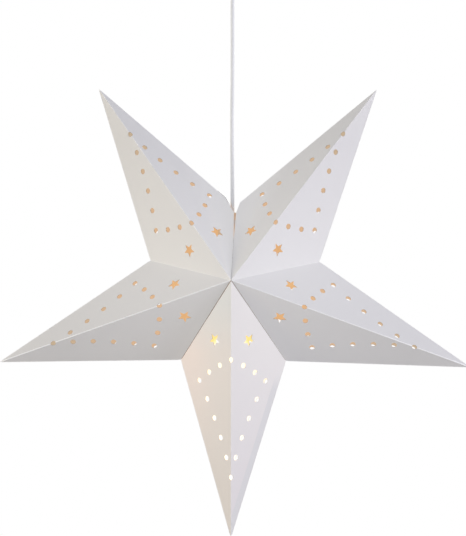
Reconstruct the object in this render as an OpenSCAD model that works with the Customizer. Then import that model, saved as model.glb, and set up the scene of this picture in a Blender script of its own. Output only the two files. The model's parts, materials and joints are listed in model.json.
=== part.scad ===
// Hanging advent star light. A five-armed hollow star of folded and punched white card hangs
// on the cap of a small lampholder, on a cord that drops from a ceiling cup.
// Millimetres. The origin is on the ceiling, +Z is up and the star faces -Y.

/* [Star] */
// Distance from the ceiling down to the centre of the star
drop = 455; // [380:5:900]
// Distance by which the star's centre hangs to the right of the cord
star_side = 2.5; // [0:0.5:4]
// Turn of the hung star about its front-to-back axis
star_turn = 0.8; // [0:0.1:1.5]
// Distance from the star's centre to the point where an arm's creases meet
tip_r = 318; // [260:1:380]
// Distance from the star's centre to a valley between two arms
valley_r = 114.5; // [100:0.5:125]
// The same at the top seam, which the closing flaps draw together
seam_r = 107; // [98:0.5:116]
// Distance from the star's middle plane to the front or the back apex
half_depth = 80; // [74:1:92]
// Height of both apexes above the star's centre
apex_lift = 2.5; // [0:0.5:5]
// Angle by which the two upper arms lean towards the seam
arm_lean = 1.2; // [0:0.1:2]
// Thickness of the card
card_t = 0.5; // [0.3:0.1:0.8]
// Room between a card edge and the crease line that it turns on
crease_gap = 0.1; // [0.05:0.05:0.3]
// Room between a card edge and a crease that is left open at the back
open_gap = 0.3; // [0.2:0.1:0.6]
// Corner cut off a front panel where the ten creases meet
front_trim = 0.5; // [0.5:0.5:4]
// Corner cut off a back panel where the ten creases meet
back_trim = 3; // [1:0.5:5]
// Width of the glue tab behind the outer edge of a front panel
tab_w = 8; // [5:1:12]
// Length of arm tip that the glue tab leaves free
tab_tip_gap = 32; // [20:1:60]

/* [Cord notch] */
// Cut along the seam crease, measured from the seam's valley point
notch_seam = 12.6; // [8:0.2:20]
// Cut along the outer edge of the upper left arm
notch_left = 17.6; // [8:0.2:22]
// Cut along the outer edge of the upper right arm
notch_right = 7.6; // [6:0.2:22]
// Distance of each seam edge from the crease line where it reaches the notch
seam_open = 1.5; // [0:0.1:2]

/* [Punched holes] */
// Diameter of a round hole
hole_d = 7; // [4:0.5:9]
// Diameter of the circle round the points of a star-shaped hole
star_hole_d = 15; // [10:0.5:18]
// Distance from an arm's tip to the first hole on its ridge, as a share of the ridge
row_start = 0.2395; // [0.22:0.0005:0.27]
// Spacing of the holes in the row that runs down the arm, as a share of the ridge
row_step = 0.08; // [0.062:0.0005:0.085]
// Angle between the ridge and the start of that row
row_angle = 18; // [14:0.5:20]
// Turn of the row at each hole
row_turn = 3.4; // [2:0.2:4]
// Number of holes in the row that runs down the arm
row_count = 5; // [3:1:5]
// Spacing of the holes in the row that runs back to the ridge, as a share of the ridge
return_step = 0.0655; // [0.05:0.0005:0.07]
// Angle between the ridge and the start of the row back
return_angle = -52.5; // [-60:0.5:-48]
// Turn of the row back at each hole
return_turn = -6; // [-8:0.5:-4]
// Number of holes in the row back, without the one on the ridge
return_count = 2; // [1:1:2]
// Distance from the tip along the ridge to the star-shaped hole, as a share of the ridge
star_hole_down = 0.7715; // [0.75:0.0005:0.78]
// Distance from the ridge to the star-shaped hole, as a share of the ridge
star_hole_side = 0.0855; // [0.075:0.0005:0.095]
// How much nearer the apex the upper left arm's holes are, as a share of the ridge
hole_slip = 0.0075; // [0:0.0005:0.01]

/* [Closing flaps] */
// Width of a flap
flap_w = 12; // [10:0.5:14]
// Start of a flap along the seam crease, as a share of the crease
flap_from = 0.16; // [0.1:0.01:0.2]
// End of a flap along the seam crease, as a share of the crease
flap_to = 0.55; // [0.45:0.01:0.56]
// Diameter of a fastening dot on a flap
dot_d = 9; // [6:0.5:9.5]
// Thickness of a fastening dot
dot_t = 0.7; // [0.4:0.1:0.9]
// Room between two dots that face each other, and between a flap and its panel
flap_gap = 0.1; // [0.05:0.05:0.2]

/* [Cord] */
// Diameter of the cord
cord_d = 5; // [4:0.1:5.2]
// Diameter of one insulated core
core_d = 1.8; // [1.4:0.1:2]
// Distance between the two cores where they leave the sheath
core_pitch = 2.2; // [2.1:0.1:2.8]

/* [Lampholder] */
// Height of the top of the domed cap above the star's centre
cap_top = 88.1; // [84:0.1:91]
// Diameter of the domed cap that the star hangs on
cap_d = 38; // [34:0.5:39]
// Height of the dome above the cap's straight side
dome_h = 8.5; // [7:0.5:12]
// Length of the cap's straight side
cap_side = 19.5; // [16:0.5:22]
// Wall of the cap and of the sleeve
holder_wall = 1.8; // [1.4:0.1:2.2]
// Diameter of the sleeve
sleeve_d = 29; // [28:0.5:30]
// Length of the sleeve below the cap
sleeve_l = 26; // [24:0.5:30]
// Diameter of the cord grip's thread
grip_d = 10; // [9:0.5:11]
// Height of the lampholder's cord grip above its cap
nipple_h = 10; // [9:0.5:14]

/* [Bulb] */
// Diameter of the globe
globe_d = 45; // [40:1:46]
// Length of the bulb from its contact to the end of its globe
bulb_l = 78; // [76:0.5:80]
// Diameter of the bulb's screw shell
shell_d = 13.6; // [13:0.1:13.8]
// Length of the bulb's screw shell
shell_l = 17; // [15:0.5:18]
// Diameter of the collar where it meets the globe
collar_d = 30; // [26:0.5:34]
// Wall of the globe
globe_wall = 1; // [0.8:0.1:1.5]

/* [Ceiling cup] */
// Diameter of the cup's rim
cup_d = 100; // [96:1:120]
// Height of the cup
cup_h = 55; // [52:1:62]
// Diameter of the cup's lower end
cup_neck_d = 24; // [20:1:30]
// Height of the straight rim
cup_rim_h = 6; // [3:0.5:10]
// Wall of the cup
cup_wall = 1.8; // [1.4:0.1:2.5]
// Room between the cup's rim and the ceiling
cup_gap = 0.6; // [0.4:0.1:1.5]

/* [Ceiling bracket] */
// Length of the bracket
bracket_l = 84; // [78:1:88]
// Width of the bracket
bracket_w = 18; // [16:1:22]
// Thickness of the bracket
bracket_t = 1.5; // [1:0.1:2]
// Distance between the two ceiling screw holes
screw_pitch = 60; // [56:1:64]
// Diameter of a ceiling screw hole
screw_hole_d = 4.5; // [4:0.1:5.5]
// Length of the leg that carries the cord clamp
leg_l = 32; // [30:0.5:34]

/* [Hidden] */
$fn = 64;
star_z = -drop;
centre = [star_side, 0, star_z];
// running clearance between a turning or sliding piece and its neighbour
run_gap = 0.3;
// clearance of pieces of one body that lie against each other
seat_gap = 0.1;

// Star: angles of the arms, counted anticlockwise from +X as seen from the front
arm_names = ["upper_left", "left", "bottom", "right", "upper_right"];
arm_count = len(arm_names);
pitch = 360 / arm_count;
seam_angle = 90;
first_arm = seam_angle + pitch / 2;
function grid_angle(arm) = first_arm + arm * pitch;
// only the two arms beside the seam lean towards it
arm_angles = [for (a = [0 : arm_count - 1])
    grid_angle(a) + (a == 0 ? -arm_lean : a == arm_count - 1 ? arm_lean : 0)];
SIDES = ["cw", "ccw"];
FACES = ["front", "back"];

function unit(v) = v / norm(v);
function around(r, a) = centre + [r * cos(a), 0, r * sin(a)];
function apex(face) = centre + [0, face == "front" ? -half_depth : half_depth, apex_lift];
function tip(arm) = around(tip_r, arm_angles[arm]);
// angle of the valley on one side of an arm, on the regular grid of the star
function valley_angle(arm, side) = grid_angle(arm) + (side == "ccw" ? pitch / 2 : -pitch / 2);
function at_seam(arm, side) = (valley_angle(arm, side) - seam_angle) % 360 == 0;
function valley(arm, side) =
    around(at_seam(arm, side) ? seam_r : valley_r, valley_angle(arm, side));
// part of a vector that is square to a unit vector
function square_to(v, u) = v - (v * u) * u;
// angle between two half planes that share an edge along u
function fold_angle(u, p, q) =
    let (a = unit(square_to(p, u)), b = unit(square_to(q, u))) acos(a * b);
function ridge_fold(arm) =
    let (o = apex("front"))
    fold_angle(unit(tip(arm) - o), valley(arm, "cw") - o, valley(arm, "ccw") - o);
function edge_fold(arm, side) =
    let (v = valley(arm, side))
    fold_angle(unit(tip(arm) - v), apex("front") - v, apex("back") - v);
function panel_name(arm, face, side) = str(arm_names[arm], "_arm_", face, "_", side);

// Outlines in a panel's own plane: x runs along the ridge from the apex, y towards the valley
function cross2(a, b) = a[0] * b[1] - a[1] * b[0];
function inset_line(p, q, d) =
    let (u = unit(q - p)) [p + d * [-u[1], u[0]], u];
function meet(a, b) = a[0] + cross2(b[0] - a[0], b[1]) / cross2(a[1], b[1]) * a[1];
// centres of a row of holes that starts at p and turns a little at each hole
function row(p, step, angle, turn, count) =
    count == 0 ? [] : let (q = p + step * [cos(angle), sin(angle)])
    concat([q], row(q, step, angle + turn, turn, count - 1));
ridge_l = norm(tip(0) - apex("front"));
first_hole = [row_start * ridge_l, 0];
down_row = row(first_hole, row_step * ridge_l, row_angle, row_turn, row_count);
back_row = row(down_row[row_count - 1], return_step * ridge_l, return_angle, return_turn,
    return_count + 1);
last_hole = back_row[return_count];
round_holes = concat([first_hole], down_row,
    [for (i = [0 : return_count - 1]) back_row[i]], [[last_hole[0], 0]]);
star_hole = ridge_l * [star_hole_down, star_hole_side];
star_points = 5;
star_inner = 0.42;

// Lamp
cap_z = star_z + cap_top;
cap_side_top = cap_z - dome_h;
cap_bottom = cap_side_top - cap_side;
nipple_hole_d = cord_d + 0.6;
sleeve_bottom = cap_bottom - sleeve_l;
thread_overlap = 6;
core_body_d = sleeve_d - 2 * holder_wall - 2 * seat_gap;
socket_wall = 0.4;
socket_r = shell_d / 2 + run_gap;
contact_z = cap_bottom + 0.4;
globe_bottom = contact_z - bulb_l;
globe_z = globe_bottom + globe_d / 2;
tip_h = 2.5;
shell_top = contact_z - tip_h;
shell_bottom = shell_top - shell_l;
mouth_z = shell_bottom + 0.4;
collar_z = globe_z + sqrt(pow(globe_d / 2, 2) - pow(collar_d / 2, 2));
web_z = contact_z + 1;
web_t = 4;
terminal_x = 6;
post_h = 3.2;

// Ceiling end
cup_bottom = -cup_h - cup_gap;
collar_t = 2.5;
stub_l = 6.5;
stem_up = 8;
grip_cap_top = cup_bottom - collar_t - run_gap;
grip_cap_l = 12;
cord_exit_z = grip_cap_top - grip_cap_l;
// the sheath ends inside the lampholder's cord grip
cord_end_z = cap_z - 3;
sheath_top = -12;
leg_x = cord_d / 2 + seat_gap;
clamp_h = 9;
clamp_z = -24;
clamp_t = 6.5;
clamp_screw_y = 6;
block_x = -20;
block_l = 18;
block_w = 16.5;
block_h = 13;
pole_y = 4.2;

PANELS = [for (a = [0 : arm_count - 1]) for (f = FACES) for (s = SIDES) panel_name(a, f, s)];

// Star panels

// the star is drawn upright, and turns a little as it hangs
module as_hung() {
    translate(centre) rotate([0, star_turn, 0]) translate(-centre) children();
}

module five_point_hole() {
    // one point looks towards the arm's tip
    polygon([for (i = [0 : 2 * star_points - 1])
        star_hole_d / 2 * (i % 2 == 0 ? 1 : star_inner) * [cos(i * 36), sin(i * 36)]]);
}

// outline of a panel's outer face; the values are its three corners in its own plane
module panel_outline(o, t, v, ridge_in, edge_in, valley_in, trim, notch_edge) {
    ridge = inset_line(o, t, ridge_in);
    edge = inset_line(t, v, edge_in);
    fold = inset_line(v, o, valley_in);
    po = meet(fold, ridge);
    pt = meet(ridge, edge);
    pv = meet(edge, fold);
    w = unit(po - pv);
    // at the seam the corner is cut away, and the edge leaves the crease above the flaps
    corner = notch_edge == 0 ? [pv] : [
        pv + notch_edge * unit(pt - pv),
        pv + notch_seam * w + seam_open * [-w[1], w[0]],
        po - flap_to * norm(po - pv) * w];
    polygon(concat([po + trim * unit(pt - po), pt], corner, [po + trim * unit(pv - po)]));
}

// what a mitred edge loses: its cut face halves the fold angle with the neighbour
module mitre(p, q, fold, gap) {
    u = q - p;
    depth = 10;
    translate(concat(p, [0]))
        rotate([0, 0, atan2(u[1], u[0])])
        translate([-depth, gap, 0])
        rotate([fold / 2 - 90, 0, 0])
        translate([0, -depth, -depth]) cube([norm(u) + 2 * depth, depth, 3 * depth]);
}

// glue tab behind the outer edge, with slanted ends
module tab_outline(t, v, d, notch_edge) {
    u = unit(v - t);
    n = [-u[1], u[0]];
    l = norm(v - t);
    a = tab_tip_gap;
    b = l - max(notch_edge, tab_w) - tab_w / 2;
    polygon([t + a * u + d * n, t + b * u + d * n, t + (b - tab_w) * u + (d + tab_w) * n,
        t + (a + 2 * tab_w) * u + (d + tab_w) * n]);
}

module star_panel(arm, face, side) {
    is_front = face == "front";
    o = apex(face);
    ex = unit(tip(arm) - o);
    w = valley(arm, side) - o;
    ey = unit(square_to(w, ex));
    ez = cross(ex, ey);
    // the card lies inside the outer surface, whichever way the plane's normal points
    flip = ez * (centre - o) < 0;
    tip2 = [norm(tip(arm) - o), 0];
    valley2 = [w * ex, w * ey];
    crease_in = is_front ? crease_gap : open_gap;
    tab_in = card_t / tan(edge_fold(arm, side) / 2) + crease_gap + card_t;
    notch_edge = !at_seam(arm, side) ? 0 : side == "cw" ? notch_left : notch_right;
    hole_x = tip2[0] - (arm == 0 ? hole_slip * ridge_l : 0);
    color("floralwhite") as_hung()
    multmatrix([
        [ex[0], ey[0], ez[0], o[0]],
        [ex[1], ey[1], ez[1], o[1]],
        [ex[2], ey[2], ez[2], o[2]],
        [0, 0, 0, 1]])
    mirror([0, 0, flip ? 1 : 0]) {
        difference() {
            linear_extrude(card_t)
                panel_outline([0, 0], tip2, valley2, crease_in, crease_gap, crease_in,
                    is_front ? front_trim : back_trim, notch_edge);
            mitre([0, 0], tip2, ridge_fold(arm), crease_in);
            mitre(tip2, valley2, edge_fold(arm, side), crease_gap);
            for (p = round_holes)
                translate([hole_x - p[0], p[1], -1]) cylinder(d = hole_d, h = card_t + 2, $fn = 32);
            translate([hole_x - star_hole[0], star_hole[1], -1])
                linear_extrude(card_t + 2) five_point_hole();
        }
        if (is_front)
            translate([0, 0, card_t])
                linear_extrude(card_t) tab_outline(tip2, valley2, tab_in, notch_edge);
    }
}

// Closing flaps: they hang inside the star from the two seam edges and face each other

// point of the seam plane: s runs along the seam crease from the apex, d goes into the star
function seam_point(face, s, d) =
    let (o = apex(face), v = around(seam_r, seam_angle), u = unit(v - o))
    let (inward = unit(square_to(centre - o, u)))
    let (p = o + s * norm(v - o) * u + d * inward) [p[1], p[2]];
flap_in = card_t + flap_gap;

module in_seam_plane(x_from, x_to) {
    as_hung()
        translate([star_side + x_from, 0, 0])
        rotate([90, 0, 90]) linear_extrude(x_to - x_from) children();
}

module flap(face, sign) {
    x0 = dot_t + flap_gap / 2;
    slant = flap_w / norm(around(seam_r, seam_angle) - apex(face)) / 2;
    color("floralwhite")
    in_seam_plane(sign < 0 ? -x0 - card_t : x0, sign < 0 ? -x0 : x0 + card_t)
        polygon([seam_point(face, flap_from, flap_in), seam_point(face, flap_to, flap_in),
            seam_point(face, flap_to - slant, flap_in + flap_w),
            seam_point(face, flap_from + slant, flap_in + flap_w)]);
}

module dots(face, sign, tint) {
    x0 = flap_gap / 2;
    color(tint)
    for (k = [0.25, 0.75])
        let (p = seam_point(face, flap_from + k * (flap_to - flap_from), flap_in + flap_w / 2))
        as_hung()
            translate([star_side + (sign < 0 ? -x0 - dot_t : x0), p[0], p[1]])
            rotate([0, 90, 0]) cylinder(d = dot_d, h = dot_t, $fn = 32);
}

module front_flap_left() { flap("front", -1); }
module front_flap_right() { flap("front", 1); }
module back_flap_left() { flap("back", -1); }
module back_flap_right() { flap("back", 1); }
module front_hook_dots() { dots("front", -1, "gainsboro"); }
module front_loop_dots() { dots("front", 1, "white"); }
module back_hook_dots() { dots("back", -1, "gainsboro"); }
module back_loop_dots() { dots("back", 1, "white"); }

// Cord and cores: tubes swept along routes of points

// ring of points square to the direction dir, round the point p
function ring(p, dir, r, n) =
    let (side = abs(dir[1]) < 0.9 ? [0, 1, 0] : [1, 0, 0])
    let (a = unit(cross(side, dir)), b = cross(dir, a))
    [for (i = [0 : n - 1]) p + r * (cos(i * 360 / n) * a + sin(i * 360 / n) * b)];
function heading(path, i) =
    let (last = len(path) - 1)
    i == 0 ? unit(path[1] - path[0]) :
    i == last ? unit(path[last] - path[last - 1]) : unit(path[i + 1] - path[i - 1]);
module tube(path, d, n) {
    m = len(path);
    points = [for (i = [0 : m - 1]) each ring(path[i], heading(path, i), d / 2, n)];
    sides = [for (i = [0 : m - 2]) for (j = [0 : n - 1])
        let (k = (j + 1) % n) [(i + 1) * n + j, (i + 1) * n + k, i * n + k, i * n + j]];
    ends = [[for (j = [0 : n - 1]) j], [for (j = [n - 1 : -1 : 0]) (m - 1) * n + j]];
    polyhedron(points, concat(sides, ends));
}
// the free cord's sideways waver, as share of its length, x and y
cord_waver = [
    [0.00, 0.0, 0], [0.08, 0.0, 0], [0.16, 0.0, 0], [0.24, 0.0, 0], [0.30, 0.0, 0],
    [0.36, -0.1, 0], [0.42, -0.3, 0], [0.48, -0.5, 0.1], [0.54, -0.7, 0.1], [0.60, -0.7, 0.2],
    [0.66, -0.6, 0.2], [0.72, -0.4, 0.2], [0.78, -0.2, 0.1], [0.84, -0.1, 0.1], [0.90, 0.0, 0],
    [0.95, 0.0, 0], [1.00, 0.0, 0]];
cord_path = [for (w = cord_waver) [w[1], w[2], cord_exit_z + w[0] * (cord_end_z - cord_exit_z)]];
// each core's route: share of the way across, share of the way up
core_route = [[0, 0], [0, 0.3], [0.12, 0.62], [0.35, 0.86], [0.65, 0.97], [1, 1]];
function core_path(from, to) =
    [for (q = core_route)
        [from[0] + q[0] * (to[0] - from[0]), from[1] + q[0] * (to[1] - from[1]),
         from[2] + q[1] * (to[2] - from[2])]];

module cord() {
    color("whitesmoke") tube(cord_path, cord_d, 10);
}

module cord_in_cup() {
    color("whitesmoke")
        translate([0, 0, cord_exit_z]) cylinder(d = cord_d, h = sheath_top - cord_exit_z, $fn = 32);
}

module cord_cores() {
    face_x = block_x + block_l / 2;
    z = -bracket_t - block_h / 2;
    color("peru")
    for (s = [-1, 1])
        tube(concat(core_path([0, s * core_pitch / 2, sheath_top], [face_x + 1, s * pole_y, z]),
            [[face_x - 4, s * pole_y, z]]), core_d, 8);
}

// Lampholder

module lampholder_cap() {
    r = cap_d / 2;
    w = holder_wall;
    hole_r = grip_d / 2 + seat_gap;
    steps = 8;
    // quarter ellipse from the straight side up to the flat ring round the cord grip
    dome = [for (i = [0 : steps])
        let (a = i * 90 / steps)
        [grip_d / 2 + 2 + (r - grip_d / 2 - 2) * cos(a), cap_side_top + dome_h * sin(a)]];
    inner = [for (i = [steps : -1 : 0])
        let (a = i * 90 / steps)
        [grip_d / 2 + 2 + (r - w - grip_d / 2 - 2) * cos(a), cap_side_top + (dome_h - w) * sin(a)]];
    color("ivory")
    rotate_extrude()
        polygon(concat([[r, cap_bottom]], dome, [[hole_r, cap_z], [hole_r, cap_z - w]], inner,
            [[r - w, cap_bottom]]));
}

module cap_cord_grip() {
    flange_r = grip_d / 2 + 1.6;
    below = 6;
    screw_z = cap_z + nipple_h - 4;
    color("ivory")
    difference() {
        union() {
            translate([0, 0, cap_z - below]) cylinder(d = grip_d, h = below + nipple_h);
            translate([0, 0, cap_z]) cylinder(r = flange_r, h = 2.5);
        }
        translate([0, 0, cap_z - below - 1]) cylinder(d = nipple_hole_d, h = below + nipple_h + 2);
        translate([0, 0, screw_z]) rotate([0, 90, 0]) cylinder(d = 3, h = grip_d, $fn = 32);
    }
}

module cap_grip_screw() {
    screw_z = cap_z + nipple_h - 4;
    color("silver")
    translate([cord_d / 2 + seat_gap, 0, screw_z])
        rotate([0, 90, 0])
        difference() {
            cylinder(d = 2.8, h = grip_d / 2 - cord_d / 2 - seat_gap + 0.6, $fn = 32);
            translate([-1.5, -0.25, grip_d / 2 - cord_d / 2 - 0.3]) cube([3, 0.5, 1]);
        }
}

module lampholder_sleeve() {
    r = sleeve_d / 2;
    lip = 1;
    top = cap_bottom + thread_overlap;
    color("ivory")
    difference() {
        union() {
            translate([0, 0, sleeve_bottom]) cylinder(r = r, h = top - sleeve_bottom);
            // shoulder that fills the cap's mouth
            translate([0, 0, cap_bottom])
                cylinder(r = cap_d / 2 - holder_wall - seat_gap, h = thread_overlap);
            translate([0, 0, cap_bottom - 2]) cylinder(r1 = r, r2 = cap_d / 2, h = 2 - seat_gap);
        }
        translate([0, 0, sleeve_bottom + lip])
            cylinder(r = r - holder_wall, h = top - sleeve_bottom);
        translate([0, 0, sleeve_bottom - 1]) cylinder(r = r - holder_wall - lip, h = lip + 2);
    }
}

module socket_core() {
    r = core_body_d / 2;
    bottom = sleeve_bottom + 1 + seat_gap;
    bore_r = socket_r + socket_wall + seat_gap;
    color("wheat")
    difference() {
        translate([0, 0, bottom]) cylinder(r = r, h = web_z + web_t - bottom);
        translate([0, 0, bottom - 1]) cylinder(r = bore_r, h = web_z - bottom + 1);
        // wide mouth for the neck of the bulb's collar
        translate([0, 0, bottom - 1]) cylinder(r = bore_r + 2, h = mouth_z - bottom + 1);
        for (s = [-1, 1])
            translate([s * terminal_x, 0, web_z - 1]) cylinder(d = 2.4, h = web_t + 2, $fn = 32);
        // groove for the strip that feeds the screw shell
        translate([bore_r - 0.5, -1.7, bottom - 1]) cube([0.5 + 0.8, 3.4, web_z - bottom + 1]);
    }
}

module socket_shell() {
    bottom = mouth_z + seat_gap;
    color("gold")
    difference() {
        translate([0, 0, bottom]) cylinder(r = socket_r + socket_wall, h = shell_top - bottom - 1);
        translate([0, 0, bottom - 1]) cylinder(r = socket_r, h = shell_top - bottom + 1);
    }
}

module centre_contact() {
    leaf_t = 0.4;
    color("gold") {
        translate([-terminal_x - 1.2, -1.5, contact_z + seat_gap])
            cube([terminal_x + 3.4, 3, leaf_t]);
        translate([-terminal_x, 0, contact_z + seat_gap])
            cylinder(d = 2, h = web_z + web_t - contact_z - seat_gap, $fn = 32);
    }
}

module side_contact() {
    x = socket_r + socket_wall + seat_gap / 2;
    bottom = shell_bottom + 4;
    color("gold") {
        translate([x, -1.4, bottom]) cube([0.5, 2.8, web_z - seat_gap - bottom]);
        translate([terminal_x - 1, -1.4, web_z - seat_gap - 0.4]) cube([x + 1.5 - terminal_x, 2.8, 0.4]);
        translate([terminal_x, 0, web_z - seat_gap - 0.4])
            cylinder(d = 2, h = web_t + seat_gap + 0.4, $fn = 32);
    }
}

module terminal_posts() {
    slot = 0.8;
    color("silver")
    for (s = [-1, 1])
        translate([s * terminal_x, 0, web_z + web_t])
            difference() {
                cylinder(d = 6, h = post_h, $fn = 32);
                translate([-slot / 2, -3, post_h - slot]) cube([slot, 6, slot + 1]);
            }
}

module lampholder_cores() {
    end_z = web_z + web_t + post_h + core_d / 2 + seat_gap;
    color("peru")
    for (s = [-1, 1])
        tube(core_path([s * core_pitch / 2, 0, cord_end_z], [s * terminal_x, 0, end_z]), core_d, 8);
}

// Bulb

module bulb_globe() {
    r = globe_d / 2;
    cut = asin((collar_z - globe_z) / r);
    steps = 24;
    outer = [for (i = [0 : steps])
        let (a = -90 + i * (cut + 90) / steps) [r * cos(a), globe_z + r * sin(a)]];
    inner = [for (i = [steps : -1 : 0])
        let (a = -90 + i * (cut + 90) / steps)
        [(r - globe_wall) * cos(a), globe_z + (r - globe_wall) * sin(a)]];
    color("white")
    rotate_extrude() polygon(concat(outer, inner));
}

module bulb_collar() {
    neck_r = shell_d / 2 + 0.6;
    r = collar_d / 2;
    color("whitesmoke")
    rotate_extrude()
        polygon([[0, shell_bottom], [neck_r, shell_bottom], [neck_r, shell_bottom - 2],
            [r * 0.72, (shell_bottom + collar_z) / 2 - 1], [r, collar_z + 1.5],
            [r, collar_z + seat_gap], [0, collar_z + seat_gap]]);
}

module bulb_screw_shell() {
    color("silver")
    difference() {
        translate([0, 0, shell_bottom]) cylinder(d = shell_d, h = shell_l);
        translate([0, 0, shell_bottom + 1]) cylinder(d = shell_d - 1.2, h = shell_l);
    }
}

module bulb_insulator() {
    color("dimgray")
    rotate_extrude()
        polygon([[2.5, shell_top - 3], [shell_d / 2 - 0.7, shell_top - 3],
            [shell_d / 2 - 0.7, shell_top], [3, shell_top + tip_h - 1], [2.5, shell_top + tip_h - 1]]);
}

module bulb_contact() {
    color("silver")
    rotate_extrude()
        polygon([[0, shell_top - 3], [2.4, shell_top - 3], [2.4, contact_z - 0.6],
            [1.6, contact_z], [0, contact_z]]);
}

module led_carrier() {
    top = collar_z;
    color("khaki") {
        translate([0, 0, top - 3]) cylinder(r = collar_d / 2 - 3, h = 3);
        for (a = [0 : 45 : 315])
            rotate([0, 0, a]) translate([collar_d / 2 - 6, 0, top - 4])
                linear_extrude(1.2) square([3, 2], center = true);
    }
}

// Ceiling cup and its cord grip

module ceiling_cup() {
    r = cup_d / 2;
    neck = cup_neck_d / 2;
    w = cup_wall;
    hole_r = grip_d / 2 + seat_gap;
    rim_z = -cup_gap - cup_rim_h;
    bell_h = cup_h - cup_rim_h;
    steps = 12;
    // S-shaped side: it leaves the rim straight down and meets the neck on a hollow curve
    function side(k) = 0.5 - 0.5 * cos(180 * k);
    outer = [for (i = [0 : steps]) let (k = i / steps)
        [r + (neck - r) * side(k), rim_z - bell_h * pow(k, 0.85)]];
    inner = [for (i = [steps : -1 : 0]) let (k = i / steps)
        [r - w + (neck - r) * side(k), rim_z - (bell_h - w) * pow(k, 0.85)]];
    color("white")
    rotate_extrude($fn = 96)
        polygon(concat([[r, -cup_gap]], outer, [[hole_r, cup_bottom], [hole_r, cup_bottom + w]],
            inner, [[r - w, -cup_gap]]));
}

module cup_grip_body() {
    color("white")
    difference() {
        union() {
            translate([0, 0, cup_bottom - collar_t]) cylinder(d = grip_d + 5, h = collar_t);
            translate([0, 0, cup_bottom - collar_t - stub_l])
                cylinder(d = grip_d, h = stub_l + collar_t + cup_wall + stem_up);
        }
        translate([0, 0, cup_bottom - collar_t - stub_l - 1])
            cylinder(d = cord_d + 0.8, h = stub_l + collar_t + cup_wall + stem_up + 2);
        // slits that let the lower end close on the cord
        for (a = [0, 90])
            rotate([0, 0, a]) translate([-grip_d, -0.5, cup_bottom - collar_t - stub_l - 1])
                cube([2 * grip_d, 1, stub_l]);
    }
}

module cup_grip_locknut() {
    across = grip_d + 5;
    z = cup_bottom + cup_wall;
    color("white")
    difference() {
        translate([0, 0, z]) cylinder(d = across / cos(30), h = 4, $fn = 6);
        translate([0, 0, z - 1]) cylinder(r = grip_d / 2 + seat_gap, h = 6);
    }
}

module cup_grip_cap() {
    top = grip_cap_top;
    bottom = cord_exit_z;
    r = grip_d / 2 + 2.5;
    color("white")
    difference() {
        rotate_extrude()
            polygon([[0, top], [r, top], [r, top - 6], [cord_d / 2 + 1.8, bottom], [0, bottom]]);
        translate([0, 0, top - stub_l - run_gap]) cylinder(r = grip_d / 2 + run_gap, h = stub_l + 2);
        translate([0, 0, bottom - 1]) cylinder(d = cord_d + 0.8, h = grip_cap_l + 2);
        // finger grooves
        for (a = [0 : 30 : 330])
            rotate([0, 0, a]) translate([r + 0.6, 0, top - 6]) cylinder(r = 1, h = 7, $fn = 24);
    }
}

// Ceiling bracket, cord clamp and terminal block

module ceiling_bracket() {
    color("silver")
    difference() {
        union() {
            translate([-bracket_l / 2, -bracket_w / 2, -bracket_t])
                cube([bracket_l, bracket_w, bracket_t]);
            translate([leg_x, -bracket_w / 2, -leg_l]) cube([bracket_t, bracket_w, leg_l]);
        }
        for (s = [-1, 1])
            translate([s * screw_pitch / 2, 0, -bracket_t - 1])
                cylinder(d = screw_hole_d, h = bracket_t + 2);
        for (s = [-1, 1])
            translate([leg_x - 1, s * clamp_screw_y, clamp_z])
                rotate([0, 90, 0]) cylinder(d = 3.2, h = bracket_t + 2, $fn = 32);
        // hole for the terminal block's fixing screw
        translate([block_x, 0, -bracket_t - 1]) cylinder(d = 3.2, h = bracket_t + 2, $fn = 32);
    }
}

module cord_clamp() {
    w = bracket_w - 1;
    front_x = leg_x - seat_gap - 1;
    color("white")
    difference() {
        translate([front_x - clamp_t, -w / 2, clamp_z - clamp_h / 2]) cube([clamp_t, w, clamp_h]);
        translate([0, 0, clamp_z - clamp_h]) cylinder(r = cord_d / 2 + seat_gap, h = 2 * clamp_h);
        for (s = [-1, 1])
            translate([front_x - clamp_t - 1, s * clamp_screw_y, clamp_z])
                rotate([0, 90, 0]) cylinder(d = 3.4, h = clamp_t + 2, $fn = 32);
    }
}

module clamp_screws() {
    head_x = leg_x - seat_gap - 1 - clamp_t;
    color("silver")
    for (s = [-1, 1])
        translate([head_x, s * clamp_screw_y, clamp_z])
            rotate([0, 90, 0])
            difference() {
                union() {
                    translate([0, 0, -1.8]) cylinder(d = 5.4, h = 1.8, $fn = 32);
                    cylinder(d = 3, h = leg_x + bracket_t + 2 - head_x, $fn = 32);
                }
                translate([-3, -0.4, -2.8]) cube([6, 0.8, 1.8]);
            }
}

module terminal_block() {
    color("white")
    difference() {
        translate([block_x - block_l / 2, -block_w / 2, -bracket_t - block_h])
            cube([block_l, block_w, block_h]);
        for (s = [-1, 1]) {
            translate([block_x - block_l, s * pole_y, -bracket_t - block_h / 2])
                rotate([0, 90, 0]) cylinder(d = 4.6, h = 2 * block_l, $fn = 32);
            for (e = [-1, 1])
                translate([block_x + e * block_l / 4, s * pole_y, -bracket_t - block_h - 1])
                    cylinder(d = 3.6, h = block_h / 2 + 1, $fn = 32);
        }
        translate([block_x, 0, -bracket_t - block_h - 1]) cylinder(d = 3.2, h = block_h + 2, $fn = 32);
    }
}

module terminal_tubes() {
    color("gold")
    for (s = [-1, 1])
        translate([block_x - block_l / 2 + 1.5, s * pole_y, -bracket_t - block_h / 2])
            rotate([0, 90, 0])
            difference() {
                cylinder(d = 4.4, h = block_l - 3, $fn = 32);
                translate([0, 0, -1]) cylinder(d = 2.6, h = block_l, $fn = 32);
            }
}

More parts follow.
